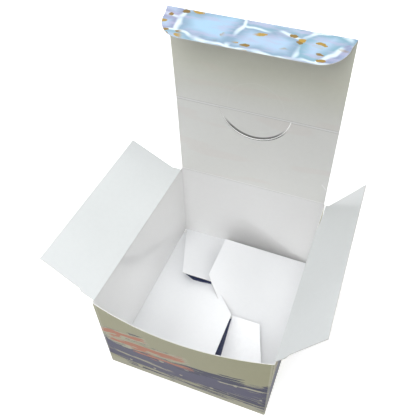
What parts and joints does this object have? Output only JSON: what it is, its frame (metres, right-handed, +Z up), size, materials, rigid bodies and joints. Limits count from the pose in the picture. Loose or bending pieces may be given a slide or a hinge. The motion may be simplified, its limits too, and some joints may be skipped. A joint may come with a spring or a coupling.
{
  "type": "counter display box",
  "caption": "Folding board display carton standing open: tented lock bottom, fold-out dust flaps, hinged lid with a round-tabbed header panel and a tuck flap.",
  "frame": {"origin": "middle of the front wall's bottom edge, in the plane the box stands on", "axes": "+X to the right seen from the front, +Y from the front wall to the back wall, +Z up"},
  "size_m": [0.1866, 0.1496, 0.216],
  "materials": {
    "carton_board": "white coated inside, satin print outside",
    "flap_board": "white coated, low gloss",
    "lid_board": "white coated, low gloss",
    "tuck_board": "satin print outside"
  },
  "bodies": {
    "carton": {"carton_body": "carton_board"},
    "left_flap": {"left_dust_flap": "flap_board"},
    "right_flap": {"right_dust_flap": "flap_board"},
    "lid": {"lid_panel": "lid_board"},
    "header": {"header_panel": "lid_board"},
    "tuck": {"tuck_flap": "tuck_board"}
  },
  "joints": [
    {"name": "lid_hinge", "type": "hinge", "parent": "carton", "child": "lid", "pos_m": [0, 0.1411, 0.07615], "axis": [-1, 0, 0], "range_deg": [-86.5, 92]},
    {"name": "header_fold", "type": "hinge", "parent": "lid", "child": "header", "pos_m": [0, 0.13904, 0.14652], "axis": [-1, 0, 0], "range_deg": [0, 176]},
    {"name": "tuck_hinge", "type": "hinge", "parent": "header", "child": "tuck", "pos_m": [0, 0.13404, 0.21574], "axis": [1, 0, 0], "range_deg": [-95, 10]},
    {"name": "left_flap_hinge", "type": "hinge", "parent": "carton", "child": "left_flap", "pos_m": [-0.06115, 0.07055, 0.07535], "axis": [-0.0198, -0.9998, 0], "range_deg": [-149, 57]},
    {"name": "right_flap_hinge", "type": "hinge", "parent": "carton", "child": "right_flap", "pos_m": [0.06045, 0.07055, 0.07535], "axis": [-0.0099, 1, 0], "range_deg": [-126, 80]}
  ]
}
